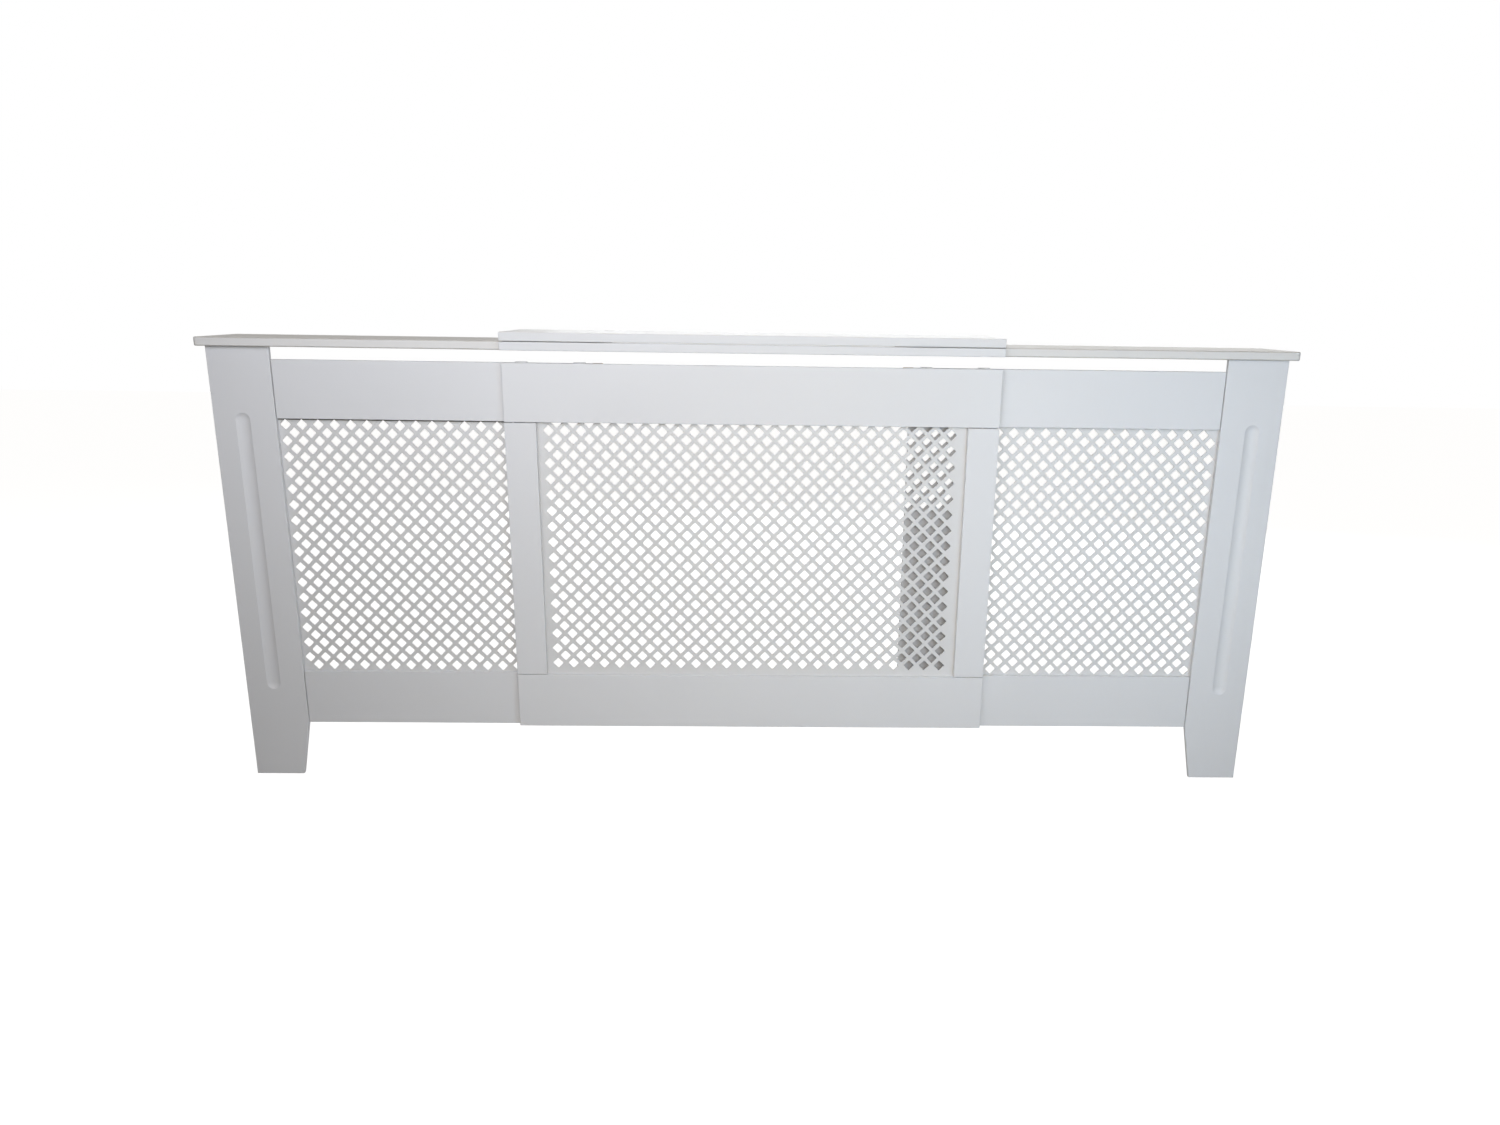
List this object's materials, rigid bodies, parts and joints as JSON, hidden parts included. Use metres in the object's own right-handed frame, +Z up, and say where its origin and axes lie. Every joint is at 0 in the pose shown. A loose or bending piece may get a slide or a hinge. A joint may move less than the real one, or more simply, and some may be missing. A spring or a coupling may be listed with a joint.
{
  "type": "radiator cover cabinet",
  "caption": "Extending white radiator cover: a latticed centre section with a raised shelf, and latticed end sections on fluted legs that slide in behind it.",
  "frame": {"origin": "on the floor, under the middle of the cover's width and depth", "axes": "+Z up, +X along the width to the viewer's right, +Y towards the wall, so the latticed front faces -Y"},
  "size_m": [1.9, 0.19, 0.815],
  "materials": {
    "white_paint": "satin white paint on smooth fibreboard",
    "lattice_paint": "satin white paint on thin perforated board",
    "bare_wood": "planed softwood, unpainted",
    "white_steel": "white enamel on folded sheet steel",
    "zinc_steel": "bright zinc plate"
  },
  "bodies": {
    "centre": {"centre_top_rail": "white_paint", "centre_bottom_rail": "white_paint", "centre_left_stile": "white_paint", "centre_right_stile": "white_paint", "centre_lattice": "lattice_paint", "centre_shelf": "white_paint", "centre_shelf_lip": "white_paint", "left_top_outer_clip": "white_steel", "left_bottom_outer_clip": "white_steel", "left_top_inner_clip": "white_steel", "left_bottom_inner_clip": "white_steel", "right_top_outer_clip": "white_steel", "right_bottom_outer_clip": "white_steel", "right_top_inner_clip": "white_steel", "right_bottom_inner_clip": "white_steel"},
    "left_end": {"left_leg": "white_paint", "left_side_panel": "white_paint", "left_top_rail": "white_paint", "left_bottom_rail": "white_paint", "left_lattice": "lattice_paint", "left_shelf": "white_paint", "left_corner_batten": "bare_wood", "left_shelf_cleat": "bare_wood", "left_top_joining_plate": "zinc_steel", "left_bottom_joining_plate": "zinc_steel", "left_top_stop_block": "bare_wood", "left_bottom_stop_block": "bare_wood", "left_upper_wall_bracket": "zinc_steel", "left_lower_wall_bracket": "zinc_steel"},
    "right_end": {"right_leg": "white_paint", "right_side_panel": "white_paint", "right_top_rail": "white_paint", "right_bottom_rail": "white_paint", "right_lattice": "lattice_paint", "right_shelf": "white_paint", "right_corner_batten": "bare_wood", "right_shelf_cleat": "bare_wood", "right_top_joining_plate": "zinc_steel", "right_bottom_joining_plate": "zinc_steel", "right_top_stop_block": "bare_wood", "right_bottom_stop_block": "bare_wood", "right_upper_wall_bracket": "zinc_steel", "right_lower_wall_bracket": "zinc_steel"}
  },
  "joints": [
    {"name": "left_slide", "type": "slide", "parent": "centre", "child": "left_end", "axis": [1, 0, 0], "range_m": [-0.01, 0.25]},
    {"name": "right_slide", "type": "slide", "parent": "centre", "child": "right_end", "axis": [-1, 0, 0], "range_m": [-0.01, 0.25]}
  ]
}
